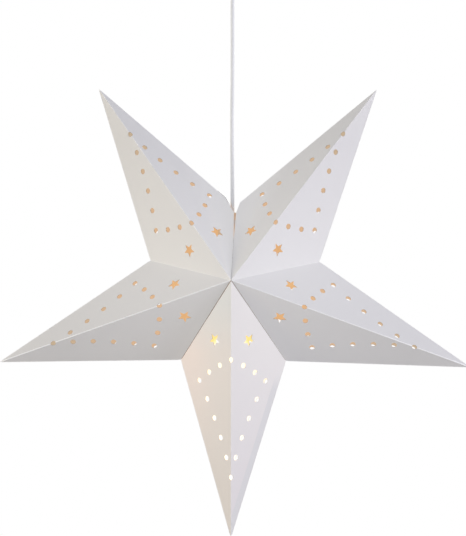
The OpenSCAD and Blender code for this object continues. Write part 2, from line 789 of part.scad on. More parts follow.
module terminal_screws() {
    z = -bracket_t - block_h;
    color("silver")
    for (s = [-1, 1]) for (e = [-1, 1])
        translate([block_x + e * block_l / 4, s * pole_y, z + 0.8])
            difference() {
                cylinder(d = 3.2, h = block_h / 2 - 2.2 - 0.8 - seat_gap, $fn = 32);
                translate([-2, -0.3, -1]) cube([4, 0.6, 1.8]);
            }
}

module terminal_fixing_screw() {
    z = -bracket_t - block_h;
    color("silver")
    translate([block_x, 0, z])
        difference() {
            union() {
                translate([0, 0, -1.6]) cylinder(d = 4, h = 1.6, $fn = 32);
                cylinder(d = 3, h = block_h + bracket_t - 0.3, $fn = 32);
            }
            translate([-2.5, -0.3, -2.6]) cube([5, 0.6, 1.6]);
        }
}

for (a = [0 : arm_count - 1]) for (f = FACES) for (s = SIDES)
    star_panel(a, f, s);
front_flap_left();
front_flap_right();
back_flap_left();
back_flap_right();
front_hook_dots();
front_loop_dots();
back_hook_dots();
back_loop_dots();
cord();
cord_in_cup();
cord_cores();
lampholder_cap();
cap_cord_grip();
cap_grip_screw();
lampholder_sleeve();
socket_core();
socket_shell();
centre_contact();
side_contact();
terminal_posts();
lampholder_cores();
bulb_globe();
bulb_collar();
bulb_screw_shell();
bulb_insulator();
bulb_contact();
led_carrier();
ceiling_cup();
cup_grip_body();
cup_grip_locknut();
cup_grip_cap();
ceiling_bracket();
cord_clamp();
clamp_screws();
terminal_block();
terminal_tubes();
terminal_screws();
terminal_fixing_screw();
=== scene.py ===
# %% [markdown]
# # A folded paper star, lit from inside
# The object is a hollow star of creased white card with punched holes. It hangs on the cap of a
# small bulb holder, on a pale cord that comes out of a ceiling cup. The solids arrive finished
# from the CAD file, so this lesson is about looking at them well: the camera, the cord, soft
# light on white card, a node material for each finish, and the fine lines of the creases.

# %% Load the CAD frame
import json
import math

import bpy
from mathutils import Matrix, Vector


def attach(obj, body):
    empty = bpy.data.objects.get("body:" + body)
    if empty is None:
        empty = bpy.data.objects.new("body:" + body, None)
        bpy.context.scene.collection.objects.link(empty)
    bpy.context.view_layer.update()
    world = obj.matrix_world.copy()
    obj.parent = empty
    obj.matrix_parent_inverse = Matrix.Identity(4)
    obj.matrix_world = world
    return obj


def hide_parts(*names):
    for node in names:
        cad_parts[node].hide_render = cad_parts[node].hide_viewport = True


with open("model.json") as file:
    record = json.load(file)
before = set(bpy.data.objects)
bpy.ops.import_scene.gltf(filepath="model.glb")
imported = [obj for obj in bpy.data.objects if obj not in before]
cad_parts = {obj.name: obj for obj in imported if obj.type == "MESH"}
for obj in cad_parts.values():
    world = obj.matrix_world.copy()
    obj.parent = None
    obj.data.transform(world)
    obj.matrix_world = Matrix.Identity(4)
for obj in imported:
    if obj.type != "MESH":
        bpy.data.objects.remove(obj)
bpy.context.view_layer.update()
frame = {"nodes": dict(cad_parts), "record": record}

nodes = frame["nodes"]

# %% [markdown]
# ## The camera
# The photograph was taken from a little below the middle of the star and a touch to its right.
# A long lens keeps the five arms nearly equal. A camera can be placed by eye, but here it is
# written as two angles and a distance from the star's middle, so that each can be corrected on
# its own. It is level, so the cord runs straight up the picture, and the star itself hangs
# turned by just under a degree. A small lens shift frames the picture as the photograph does.

# %% Camera
STAR = Vector((0.0025, 0, -0.455))
STAR_TURN = math.radians(0.8)
PHOTO_W, PHOTO_H = 466, 536
STAR_PIXEL = (234.37, 288.43)
PIXELS_PER_METRE = 776
AZIMUTH, ELEVATION = math.radians(2.93), math.radians(-5.62)
DISTANCE = 2.237
SENSOR = 36

back = Vector((math.sin(AZIMUTH) * math.cos(ELEVATION),
               -math.cos(AZIMUTH) * math.cos(ELEVATION),
               math.sin(ELEVATION)))
right = Vector((0, 0, 1)).cross(back).normalized()
up = back.cross(right)
looking = Matrix((right, up, back)).transposed().to_4x4()

camera_data = bpy.data.cameras.new("photo_camera")
camera_data.sensor_width = SENSOR
camera_data.lens = PIXELS_PER_METRE * DISTANCE / PHOTO_H * SENSOR
camera_data.shift_x = -(STAR_PIXEL[0] - PHOTO_W / 2) / PHOTO_H
camera_data.shift_y = (STAR_PIXEL[1] - PHOTO_H / 2) / PHOTO_H
camera = bpy.data.objects.new("photo_camera", camera_data)
camera.matrix_world = Matrix.Translation(STAR + DISTANCE * back) @ looking
bpy.context.scene.collection.objects.link(camera)
bpy.context.scene.camera = camera
bpy.context.scene.view_settings.view_transform = "Standard"
print("camera lens", round(camera_data.lens, 1), "mm")

# %% [markdown]
# ## The cord
# The cord is a round sheath, pulled straight by the weight of the star, which keeps only the
# faint set that it got on its reel. It goes from the cord grip of the ceiling cup into the grip
# of the bulb holder. A cylinder would be too straight, so it is a curve with a round section
# through a row of points. Each point gives its share of the way down and its drift in mm.

# %% Cord
CORD_D, CORD_ROUNDNESS = 0.005, 6
CORD_TOP, CORD_END = -0.0704, -0.3699
CORD_WAVER = [
    (0.00, 0.0, 0), (0.08, 0.0, 0), (0.16, 0.0, 0), (0.24, 0.0, 0), (0.30, 0.0, 0),
    (0.36, -0.1, 0), (0.42, -0.3, 0), (0.48, -0.5, 0.1), (0.54, -0.7, 0.1), (0.60, -0.7, 0.2),
    (0.66, -0.6, 0.2), (0.72, -0.4, 0.2), (0.78, -0.2, 0.1), (0.84, -0.1, 0.1), (0.90, 0.0, 0),
    (0.95, 0.0, 0), (1.00, 0.0, 0)]
ROUND_SHADING = math.radians(40)
cord_points = [Vector((x / 1000, y / 1000, CORD_TOP + share * (CORD_END - CORD_TOP)))
               for share, x, y in CORD_WAVER]

cord_curve = bpy.data.curves.new("hanging_cord", "CURVE")
cord_curve.dimensions = "3D"
cord_curve.bevel_depth = CORD_D / 2
cord_curve.bevel_resolution = CORD_ROUNDNESS
cord_curve.use_fill_caps = True
cord_line = cord_curve.splines.new("POLY")
cord_line.points.add(len(cord_points) - 1)
for point, place in zip(cord_line.points, cord_points):
    point.co = (*place, 1)
cord = bpy.data.objects.new("hanging_cord", cord_curve)
bpy.context.scene.collection.objects.link(cord)

# %% [markdown]
# The curve becomes a mesh, which can be shaded round with its two flat ends kept sharp. It then
# rides on the root body, in place of the CAD cord.

# %% Cord as a mesh
bpy.ops.object.select_all(action="DESELECT")
cord.select_set(True)
bpy.context.view_layer.objects.active = cord
bpy.ops.object.convert(target="MESH")
cord = bpy.context.active_object
bpy.ops.object.shade_smooth_by_angle(angle=ROUND_SHADING)
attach(cord, "root")
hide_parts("cord")
print("cord mesh:", len(cord.data.polygons), "faces")

# %% [markdown]
# ## Shader maths
# A material is a tree of small nodes. They can be added and joined one at a time, but then the
# sum that they make is hard to read. So one small class wraps a socket and takes part in sums:
# 1 - mask adds a node that subtracts, and place.noise(900, 3) adds one that makes a mottle.

# %% Shader maths
class Field:
    """A shader socket that can be used in sums, so that a material reads as an expression."""

    def __init__(self, tree, socket=None):
        self.tree = tree
        self.socket = socket

    def node(self, kind, settings=None, inputs=None, output=0):
        """Adds a node: its settings first, then the values or links of its sockets."""
        made = self.tree.nodes.new("ShaderNode" + kind)
        for name, value in (settings or {}).items():
            if name == "stops":
                ramp = made.color_ramp
                while len(ramp.elements) < len(value):
                    ramp.elements.new(1)
                for element, (place, colour) in zip(ramp.elements, value):
                    element.position = place
                    element.color = (*colour, 1)
            else:
                setattr(made, name, value)
        for key, value in (inputs or {}).items():
            if isinstance(value, Field):
                self.tree.links.new(value.socket, made.inputs[key])
            else:
                made.inputs[key].default_value = value
        return Field(self.tree, made.outputs[output] if made.outputs else None)

    def maths(self, operation, a, b=0.0):
        return self.node("Math", {"operation": operation}, {0: a, 1: b})

    def __add__(self, other):
        return self.maths("ADD", self, other)

    def __sub__(self, other):
        return self.maths("SUBTRACT", self, other)

    def __rsub__(self, other):
        return self.maths("SUBTRACT", other, self)

    def __mul__(self, other):
        return self.maths("MULTIPLY", self, other)

    def __truediv__(self, other):
        return self.maths("DIVIDE", self, other)

    def __abs__(self):
        return self.maths("ABSOLUTE", self)

    __radd__ = __add__
    __rmul__ = __mul__

    def at_least(self, other):
        """The larger of the two."""
        return self.maths("MAXIMUM", self, other)

    def ramp(self, low, high, bottom=0.0, top=1.0):
        """Runs from bottom to top while this value runs from low to high."""
        return self.node("MapRange", {"clamp": True}, {
            "Value": self, "From Min": low, "From Max": high, "To Min": bottom, "To Max": top})

    def between(self, low, high, blur):
        """1 between low and high, fading over blur outside them."""
        return self.ramp(low - blur, low) * self.ramp(high, high + blur, 1.0, 0.0)

    def blend(self, below, above):
        """A colour that goes from below to above as this share goes from 0 to 1."""
        below, above = (c if isinstance(c, Field) else (*c, 1) for c in (below, above))
        return self.node("Mix", {"data_type": "RGBA"}, {0: self, 6: below, 7: above}, 2)

    def part(self, axis):
        """One number of this vector."""
        return self.node("SeparateXYZ", None, {0: self}, "XYZ".index(axis))

    def minus(self, vector):
        return self.node("VectorMath", {"operation": "SUBTRACT"}, {0: self, 1: vector})

    def dot(self, vector):
        return self.node("VectorMath", {"operation": "DOT_PRODUCT"}, {0: self, 1: vector}, 1)

    def length(self):
        return self.node("VectorMath", {"operation": "LENGTH"}, {0: self}, 1)

    def noise(self, scale, detail):
        """A mottle at this place, with about scale patches to a metre."""
        return self.node("TexNoise", None, {"Vector": self, "Scale": scale, "Detail": detail})


def empty_nodes(owner):
    """Clears the nodes of a material or of the world, and gives the field that adds new ones."""
    owner.use_nodes = True
    owner.node_tree.nodes.clear()
    return Field(owner.node_tree)


print("shader maths ready")

# %% [markdown]
# ## Room and light
# White card shows its folds only when the light comes from the sides. One lamp beside the camera
# would be quicker, but would flatten them. Two large soft lamps stand left and right, the left one
# warmer and weaker, a third stands behind, and the room adds a low even light. The camera sees
# the room as plain white, which costs the card nothing, because the light path tells the world
# which rays come from the camera.

# %% World
ROOM_LIGHT = (0.42, 0.43, 0.469)
WHITE = (1, 1, 1)
world = bpy.data.worlds.new("room")
room = empty_nodes(world)
seen = room.node("LightPath", None, None, "Is Camera Ray")
mirrored = room.node("LightPath", None, None, "Is Glossy Ray")
through_glass = room.node("LightPath", None, None, "Is Transmission Ray")
backdrop = seen.at_least(mirrored.at_least(through_glass)).blend(ROOM_LIGHT, WHITE)
room_glow = room.node("Background", None, {"Color": backdrop, "Strength": 1.0})
room.node("OutputWorld", None, {"Surface": room_glow})
bpy.context.scene.world = world
print("room light", ROOM_LIGHT)

# %% [markdown]
# A lamp is easier to place by its direction and distance from the star than by its own corner of
# the room, and it has to face the star. So one helper takes these and turns the lamp. A large
# square lamp gives the soft change from light to shade that the folds of the star show.

# %% Three soft lamps
def soft_lamp(name, direction, distance, side, power, colour):
    """A square lamp that faces the star from a direction. Its side and distance are in metres."""
    lamp = bpy.data.lights.new(name, "AREA")
    lamp.shape = "SQUARE"
    lamp.size = side
    lamp.energy = power
    lamp.color = colour
    where = Vector(direction).normalized()
    holder = bpy.data.objects.new(name, lamp)
    holder.location = STAR + distance * where
    holder.rotation_euler = where.to_track_quat("Z", "Y").to_euler()
    bpy.context.scene.collection.objects.link(holder)
    print(name, power, "W at", distance, "m")


soft_lamp("right_lamp", direction=(0.94, -0.34, 0.0), distance=2.6, side=1.2, power=28.5,
          colour=(0.965, 0.935, 1.0))
soft_lamp("left_lamp", direction=(-0.94, -0.34, 0.0), distance=2.6, side=1.2, power=24.5,
          colour=(0.985, 0.892, 0.705))
soft_lamp("rear_lamp", direction=(0.0, 1.0, 0.25), distance=2.8, side=1.4, power=18,
          colour=(1.0, 0.98, 0.96))

# %% [markdown]
# ## The floor
# A plain pale disc lies far below the star and belongs to the room, not to the object. For the
# camera it adds some light of its own to its grey, so that it looks nearly white and still takes
# the star's shadow. White paint would do that too, but it would throw too much light up at the
# card. For all other rays the floor is a plain grey.

# %% Floor
FLOOR_Z, FLOOR_R = -1.25, 4
FLOOR_GREY = (0.54, 0.54, 0.54, 1)
SEEN_GREY, SEEN_GLOW = (0.36, 0.36, 0.36, 1), 0.72
bpy.ops.object.select_all(action="DESELECT")
bpy.ops.mesh.primitive_circle_add(vertices=96, radius=FLOOR_R, fill_type="NGON",
                                  location=(0, 0, FLOOR_Z))
floor = bpy.context.active_object
floor.name = "floor"
floor_paint = bpy.data.materials.new("floor_paint")
paint = empty_nodes(floor_paint)
grey = paint.node("BsdfDiffuse", None, {"Color": FLOOR_GREY})
seen_grey = paint.node("BsdfDiffuse", None, {"Color": SEEN_GREY})
glow_of_floor = paint.node("Emission", None, {"Color": (*WHITE, 1), "Strength": SEEN_GLOW})
pale = paint.node("AddShader", None, {0: seen_grey, 1: glow_of_floor})
on_camera = paint.node("LightPath", None, None, "Is Camera Ray")
floor_look = paint.node("MixShader", None, {0: on_camera, 1: grey, 2: pale})
paint.node("OutputMaterial", None, {"Surface": floor_look})
floor.data.materials.append(floor_paint)
print("floor at", FLOOR_Z, "m")

# %% [markdown]
# ## White card
# The card is matt, faintly fibrous, and lit from behind. Its outside, its inside and its cut
# edges look different. They could be three materials, but the CAD mesh has one, so the material
# tells them apart by itself. The plane of an outer face lies about 60 mm outwards from the
# star's centre, that of an inner face as far inwards, and anything else is a cut edge.

# %% Where a point of the card is
FACE_FROM_CENTRE = 0.0595
FACE_NEAR, FACE_FAR, FACE_BLUR = 0.004, 0.006, 0.0005
card = bpy.data.materials.new("white_card")
card_nodes = empty_nodes(card)
place = card_nodes.node("TexCoord", None, None, "Object")
from_centre = place.minus(STAR)
across = from_centre.dot((math.cos(STAR_TURN), 0, -math.sin(STAR_TURN)))
height = from_centre.dot((math.sin(STAR_TURN), 0, math.cos(STAR_TURN)))
depth = abs(from_centre.part("Y"))
facing = card_nodes.node("TexCoord", None, None, "Normal").dot(from_centre)
outer = facing.between(FACE_FROM_CENTRE - FACE_NEAR, FACE_FROM_CENTRE + FACE_FAR, FACE_BLUR)
inner = facing.between(-FACE_FROM_CENTRE - FACE_FAR, -FACE_FROM_CENTRE + FACE_NEAR, FACE_BLUR)
print("card surfaces told apart at", FACE_FROM_CENTRE, "m")

# %% [markdown]
# The colour of the outside is nearly white. Real card is never even, so two mottles are added: a
# fine one for its fibres and a broad one for its clouds. The cut edges are painted brown, as
# painted shade on the cut walls of the holes and edges, and the inside is painted a darker brown,
# as painted shade where no lamp of the room reaches.

# %% Colour of the card
FIBRES, CLOUDS, MOTTLE = 900.0, 45.0, 0.030
fibre = place.noise(FIBRES, 3.0)
cloud = place.noise(CLOUDS, 2.0)
shade = (fibre - 0.5) * MOTTLE + (cloud - 0.5) * MOTTLE + 0.5
card_colour = shade.blend((0.80, 0.79, 0.775), (0.96, 0.955, 0.945))
# painted shade: the cut edges and the inside of the card are painted a darker brown
shaded_cut_edge = (1 - outer) * (1 - inner)
card_colour = shaded_cut_edge.blend(card_colour, (0.48, 0.40, 0.31))
card_colour = inner.blend(card_colour, (0.42, 0.36, 0.30))
print("mottles of", round(1000 / FIBRES, 1), "and", round(1000 / CLOUDS, 1), "mm")

# %% [markdown]
# The bulb shines a little through the card. Real light through thin card is slow and noisy to
# render, so it is written as a glow of the outside that fades with the distance from the bulb.
# It shows most on the bottom arm, below the two valley lines beside it: warm on the left side,
# and duller on the right. The glue tab inside the right edge is a second layer of card, and
# leaves a slightly darker band.

# %% Light through the arms
VALLEY_SLOPE = 1.376
TAB_WIDTH = 0.0056
from_lamp = from_centre.length()
through_card = from_lamp.ramp(0.06, 0.24, 1.0, 0.0)
spill = through_card.blend((0.012, 0.010, 0.010), (0.083, 0.080, 0.078))

bottom_arm = (abs(across) * -VALLEY_SLOPE - height).ramp(0.0, 0.0006)
left_half = across.ramp(-0.0004, 0.0, 1.0, 0.0)
down_arm = height.ramp(-0.26, -0.08)
near_apex = height.ramp(-0.085, -0.025)
left_fold = across.ramp(-0.050, -0.018, 0.42, 0.0) * down_arm
left_tint = down_arm.blend((0.072, 0.036, 0.008), (0.136, 0.095, 0.068))
left_tint = left_fold.blend(left_tint, (0.26, 0.11, 0.06))
left_tint = near_apex.blend(left_tint, (0.078, 0.088, 0.087))
tab_band = depth.between(0.0, TAB_WIDTH, 0.0008) * height.ramp(-0.13, -0.11, 1.0, 0.0)
right_tint = down_arm.blend((0.068, 0.045, 0.050), (0.110, 0.093, 0.082))
right_tint = tab_band.blend(right_tint, (0.022, 0.020, 0.024))
spill = bottom_arm.blend(spill, left_half.blend(right_tint, left_tint))
print("light through the arms, with a tab band of", 1000 * TAB_WIDTH, "mm")

# %% [markdown]
# Above the middle, the two ends of the card meet in a slit. Light comes out of it and grazes the
# card on both sides, so the card is brighter there. The glow narrows towards the apex, because
# it reads the way sideways as a share of the height. Near the apex it is weaker on the right.

# %% Light beside the slit
SLIT_SPREAD, SLIT_START = 0.45, 0.02
off_slit = (abs(across) / height.at_least(SLIT_START)).ramp(0.0, SLIT_SPREAD, 1.0, 0.0)
left_share = height.ramp(0.0, SLIT_START)
right_share = height.ramp(0.03, 0.09, 0.24, 1.0) * left_share
slit = off_slit * (left_half * left_share + (1 - left_half) * right_share)
spill = slit.blend(spill, (0.215, 0.210, 0.205))
print("light beside the slit spreads", SLIT_SPREAD, "of the height aside")

# %% [markdown]
# Inside, the card glows, because the bulb shines on it. The holes let a viewer see it, so it is
# what gives the punched pattern its colours: a tan orange in the arms, and nearly white below
# the bulb. A colour ramp gives them, and what it reads is how far a point is below two lines that
# fall away from the bulb on both sides.

# %% Glow of the inside
BULB_ASIDE, GLOW_SLOPE = 0.006, 1.3
GLOW_STOPS = [
    (0.00, (0.445, 0.262, 0.125)), (0.16, (0.505, 0.285, 0.122)), (0.29, (0.56, 0.43, 0.09)),
    (0.55, (0.67, 0.56, 0.15)), (0.67, (0.92, 0.86, 0.66)), (1.00, (0.95, 0.90, 0.76))]
below_lamp = (abs(across + BULB_ASIDE) * -GLOW_SLOPE - height).ramp(-0.02, 0.08)
glow = card_nodes.node("ValToRGB", {"stops": GLOW_STOPS}, {"Fac": below_lamp})
arm_glow = from_lamp.ramp(0.13, 0.27).blend((0.40, 0.285, 0.190), (0.300, 0.265, 0.200))
in_arm = from_lamp.ramp(0.098, 0.113) * (1 - below_lamp)
glow = in_arm.blend(glow, arm_glow)
lamp_light = outer.blend(inner.blend((0.0, 0.0, 0.0), glow), spill)
print("glow of the inside:", len(GLOW_STOPS), "colours")

# %% [markdown]
# The colour, the glow and a fine bump from the fibres meet in one shader. Card has a dull gloss
# that shows only at a grazing angle, so its roughness is high and its specular level low.

# %% Card on the panels
fibre_relief = card_nodes.node("Bump", None, {"Strength": 0.18, "Distance": 0.0002,
                                              "Height": fibre})
skin = card_nodes.node("BsdfPrincipled", None, {
    "Base Color": card_colour, "Roughness": 0.72, "Normal": fibre_relief,
    "Specular IOR Level": 0.3, "Emission Color": lamp_light, "Emission Strength": 1.0})
card_nodes.node("OutputMaterial", None, {"Surface": skin})
for name, node in nodes.items():
    if "_arm_" in name:
        node.data.materials.clear()
        node.data.materials.append(card)
print("card on", sum("_arm_" in name for name in nodes), "panels")

# %% [markdown]
# ## Plain finishes
# The rest is moulded plastic, rolled brass, zinc-plated steel, a ceramic core and an opal bulb.
# A single flat colour looks like nothing real, so one helper makes them all: a base colour that
# drifts a little, a roughness that drifts with it, and a fine bump. Moulded plastic is nearly
# even. Plated steel shows fine streaks, which come from stretching the pattern along one axis.

# %% A helper for plain finishes
DRIFT_LOW, DRIFT_HIGH = 0.3, 0.7
ROUGH_DRIFT = 0.04
finishes = []


def finish(name, low, high, rough, metal=0.0, coat=0.0, grain=300.0, bump_depth=0.1,
           streak=(1, 1, 1), painted_light=(0, 0, 0)):
    """A finish whose colour and roughness drift between two values."""
    material = bpy.data.materials.new(name)
    making = empty_nodes(material)
    spot = making.node("TexCoord", None, None, "Object")
    drift = making.node("Mapping", None, {"Vector": spot, "Scale": streak}).noise(grain, 3.0)
    # The glow given as painted_light is painted light: painted highlights on the creases and a
    # paler cord.
    shader = making.node("BsdfPrincipled", None, {
        "Base Color": drift.ramp(DRIFT_LOW, DRIFT_HIGH).blend(low, high),
        "Roughness": drift.ramp(DRIFT_LOW, DRIFT_HIGH, rough - ROUGH_DRIFT, rough + ROUGH_DRIFT),
        "Metallic": metal, "Coat Weight": coat, "Coat Roughness": 0.2,
        "Normal": making.node("Bump", None, {
            "Strength": bump_depth, "Distance": 0.0001, "Height": drift}),
        "Emission Color": (*painted_light, 1), "Emission Strength": 1.0})
    making.node("OutputMaterial", None, {"Surface": shader})
    finishes.append(name)
    return material


print("finishes drift by", ROUGH_DRIFT, "in roughness")

# %% [markdown]
# Of these, only the cord shows in the photograph, so its pale grey follows it, and a little
# painted light of its own makes it paler where the side lamps only graze it. The hidden parts have
# the colours that such parts have: white plastic, brown cores, brass tubes and a cream ceramic.

# %% Plastic, ceramic, glass and metal
moulded = finish("white_plastic", (0.84, 0.84, 0.83), (0.87, 0.87, 0.86), 0.34, coat=0.15)
# The cord's faint glow is painted light, which makes it paler where the lamps only graze it.
sheath = finish("cord_sheath", (0.88, 0.88, 0.88), (0.93, 0.93, 0.93), 0.48, grain=600.0,
                painted_light=(0.06, 0.065, 0.07))
core_skin = finish("core_insulation", (0.22, 0.10, 0.04), (0.27, 0.13, 0.06), 0.45)
ceramic = finish("socket_ceramic", (0.80, 0.76, 0.68), (0.86, 0.83, 0.76), 0.6, grain=900.0)
brass = finish("rolled_brass", (0.78, 0.56, 0.24), (0.86, 0.66, 0.32), 0.28, metal=1.0,
               grain=500.0)
zinc = finish("zinc_plate", (0.66, 0.67, 0.68), (0.76, 0.77, 0.78), 0.34, metal=1.0,
              grain=200.0, streak=(0.15, 1, 1))
nickel = finish("nickel_plate", (0.72, 0.72, 0.71), (0.80, 0.80, 0.79), 0.22, metal=1.0)
black_glass = finish("black_glass", (0.015, 0.015, 0.015), (0.03, 0.03, 0.03), 0.12)
print("finishes so far:", len(finishes))

# %% [markdown]
# The flaps inside the star are card too, but no light of the room reaches them, so they are
# warmer. Their tapes are rough and deeply grained. The creases get card of their own: those that
# catch the light get a painted highlight, and those that lie in shade get painted shade.

# %% Tapes, flaps, creases and painted shade
hooks = finish("hook_tape", (0.62, 0.62, 0.62), (0.86, 0.86, 0.86), 0.8, grain=2500.0,
               bump_depth=0.8)
loops = finish("loop_tape", (0.74, 0.74, 0.74), (0.92, 0.92, 0.92), 0.9, grain=1800.0,
               bump_depth=0.8)
flap_card = finish("flap_card", (0.80, 0.74, 0.66), (0.86, 0.80, 0.72), 0.72, grain=900.0)
# Painted highlights: these crease cards glow a little, some more than others.
crease_card = finish("crease_card", (0.88, 0.875, 0.865), (0.96, 0.955, 0.945), 0.7,
                     grain=900.0, painted_light=(0.06, 0.055, 0.05))
soft_crease = finish("soft_crease", (0.90, 0.895, 0.885), (0.96, 0.955, 0.945), 0.65,
                     grain=900.0, painted_light=(0.12, 0.115, 0.11))
bright_crease = finish("bright_crease", (0.92, 0.92, 0.92), (0.97, 0.97, 0.97), 0.6,
                       grain=900.0, painted_light=(0.30, 0.30, 0.30))
# Painted shade: a dark brown crease card for the valleys that lie in shade.
warm_crease = finish("warm_crease", (0.16, 0.10, 0.06), (0.26, 0.17, 0.11), 0.8,
                     grain=900.0, painted_light=(0.06, 0.03, 0.015))
# A dark finish of painted shade, for the slit, the notch edge and the front apex.
edge_shade = finish("dark_cut_edge", (0.055, 0.048, 0.042), (0.12, 0.105, 0.09), 0.8,
                   grain=700.0)
print("finishes in all:", len(finishes))

# %% [markdown]
# The globe and the LED board are the two things that give light. A lit bulb clips to plain white
# and then can't be told from the white room, so the globe glows at a level that keeps its warm
# colour. It is paler at the bottom, away from its collar. On the board the chips glow most. They
# stand below its disc, so the height of a point is enough to tell them apart.

# %% Opal globe and LED board
GLOBE_LOW, GLOBE_HIGH = -0.018, 0.022
CHIP_LOW, CHIP_HIGH = -0.4372, -0.4366
opal = bpy.data.materials.new("opal_globe")
opal_nodes = empty_nodes(opal)
above_middle = opal_nodes.node("TexCoord", None, None, "Object").minus(STAR).part("Z")
opal_glow = above_middle.ramp(GLOBE_LOW, GLOBE_HIGH).blend((0.97, 0.84, 0.59), (0.95, 0.74, 0.44))
opal_skin = opal_nodes.node("BsdfPrincipled", None, {
    "Base Color": (0.12, 0.11, 0.09, 1), "Roughness": 0.35,
    "Emission Color": opal_glow, "Emission Strength": 1.0})
opal_nodes.node("OutputMaterial", None, {"Surface": opal_skin})

board = bpy.data.materials.new("led_board")
board_nodes = empty_nodes(board)
level = board_nodes.node("TexCoord", None, None, "Object").part("Z")
chip = level.ramp(CHIP_LOW, CHIP_HIGH, 1.0, 0.0)
board_skin = board_nodes.node("BsdfPrincipled", None, {
    "Base Color": chip.blend((0.9, 0.9, 0.88), (0.9, 0.72, 0.25)), "Roughness": 0.5,
    "Emission Color": chip.blend((0.2, 0.16, 0.1), (1.0, 0.8, 0.5)), "Emission Strength": 1.0})
board_nodes.node("OutputMaterial", None, {"Surface": board_skin})
print("chips below", CHIP_HIGH, "m")

# %% [markdown]
# The record names a material slot for each node, so the finishes are handed out by slot. The
# panels already have their card. The closing flaps share the panels' slot but not their look.

# %% Finishes on their nodes
BY_SLOT = {
    "cord_sheath": sheath, "core_insulation": core_skin, "holder_plastic": moulded,
    "cup_plastic": moulded, "socket_ceramic": ceramic, "brass": brass, "screw_steel": zinc,
    "bracket_steel": zinc, "opal_glass": opal, "bulb_plastic": moulded, "bulb_metal": nickel,
    "insulator": black_glass, "led_board": board, "hook_tape": hooks, "loop_tape": loops}
slot_of = {part["node"]: part["material_slot"] for part in frame["record"]["subparts"]}
for name, node in nodes.items():
    if "_arm_" not in name:
        node.data.materials.clear()
        node.data.materials.append(flap_card if "_flap_" in name else BY_SLOT[slot_of[name]])
cord.data.materials.append(sheath)
print("slots with a finish:", len(BY_SLOT))

# %% [markdown]
# ## Turned and moulded shapes
# The CAD mesh is loose triangles, so each of its facets is shaded flat. On round plastic parts
# this shows as bands from close by. They could be modelled again, but their shape is right, so
# those few nodes are replaced by copies of themselves whose corners are merged. Then the surface
# can be shaded round, with sharp edges kept by angle.

# %% Smooth copies
MERGE_WITHIN = 0.000002
SHARP_FROM = math.radians(28)
ROUND_BODIES = {
    "ceiling_cup": "cup", "cup_grip_body": "cup", "cup_grip_cap": "grip_cap",
    "lampholder_cap": "root", "cap_cord_grip": "root", "lampholder_sleeve": "root",
    "bulb_globe": "bulb", "bulb_collar": "bulb", "bulb_screw_shell": "bulb"}


def merged_copy(name, ending):
    """A copy of a CAD node whose triangles share their corners. It is selected and active."""
    piece = nodes[name].copy()
    piece.data = nodes[name].data.copy()
    piece.name = name + ending
    bpy.context.scene.collection.objects.link(piece)
    bpy.ops.object.select_all(action="DESELECT")
    piece.select_set(True)
    bpy.context.view_layer.objects.active = piece
    bpy.ops.object.mode_set(mode="EDIT")
    bpy.ops.mesh.select_all(action="SELECT")
    bpy.ops.mesh.remove_doubles(threshold=MERGE_WITHIN)
    bpy.ops.object.mode_set(mode="OBJECT")
    if piece.data.has_custom_normals:
        bpy.ops.mesh.customdata_custom_splitnormals_clear()
    return piece


for name, body in ROUND_BODIES.items():
    smooth = merged_copy(name, "_smooth")
    bpy.ops.object.shade_smooth_by_angle(angle=SHARP_FROM)
    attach(smooth, body)
    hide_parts(name)
print("smooth copies:", len(ROUND_BODIES))

# %% [markdown]
# ## The lines of the star
# Every crease runs between two of a few points: the two apexes, the five tips, and the valleys
# between the arms. They could be read from the mesh, but the star's own measures give them
# exactly. The angles are in degrees, and each valley is named after the arm before it.

# %% Lines of the star
TIP_R, VALLEY_R, SEAM_R, HALF_DEPTH, APEX_LIFT = 0.318, 0.1145, 0.107, 0.080, 0.0025
ARM_LEAN = 1.2
ARMS = {"upper_left": 126 - ARM_LEAN, "left": 198, "bottom": 270, "right": 342,
        "upper_right": 54 + ARM_LEAN}
VALLEYS = {"upper_left": 162, "left": 234, "bottom": 306, "right": 18}
SEAM_ANGLE = 90


def on_star(x, y, z):
    """A point of the star as it hangs, from its place in the upright star."""
    return STAR + Matrix.Rotation(STAR_TURN, 3, "Y") @ Vector((x, y, z))


def round_centre(radius, degrees):
    """A point of the star's middle plane."""
    angle = math.radians(degrees)
    return on_star(radius * math.cos(angle), 0, radius * math.sin(angle))


apexes = {"front": on_star(0, -HALF_DEPTH, APEX_LIFT), "back": on_star(0, HALF_DEPTH, APEX_LIFT)}
tips = {arm: round_centre(TIP_R, angle) for arm, angle in ARMS.items()}
valleys = {arm: round_centre(VALLEY_R, angle) for arm, angle in VALLEYS.items()}
seam_end = round_centre(SEAM_R, SEAM_ANGLE)
arm_order = list(ARMS)
arm_before = {arm: arm_order[number - 1] for number, arm in enumerate(arm_order)}
RIDGE = (tips["upper_left"] - apexes["front"]).length
print("ridge of an arm:", round(RIDGE, 4), "m")

# %% [markdown]
# ## Star-shaped holes
# Each panel has one hole punched as a five-pointed star. The photograph shows them wider and
# fuller than the panels of the CAD model have them. They could be painted on, but a hole has to
# let the light out, so it is opened up by cutting. The punch is a circle of ten corners, every
# second one drawn in, which is then extruded.

# %% Star punch
PUNCH_R, PUNCH_WAIST, PUNCH_DEPTH = 0.0089, 0.45, 0.006
PUNCH_CORNERS = 10


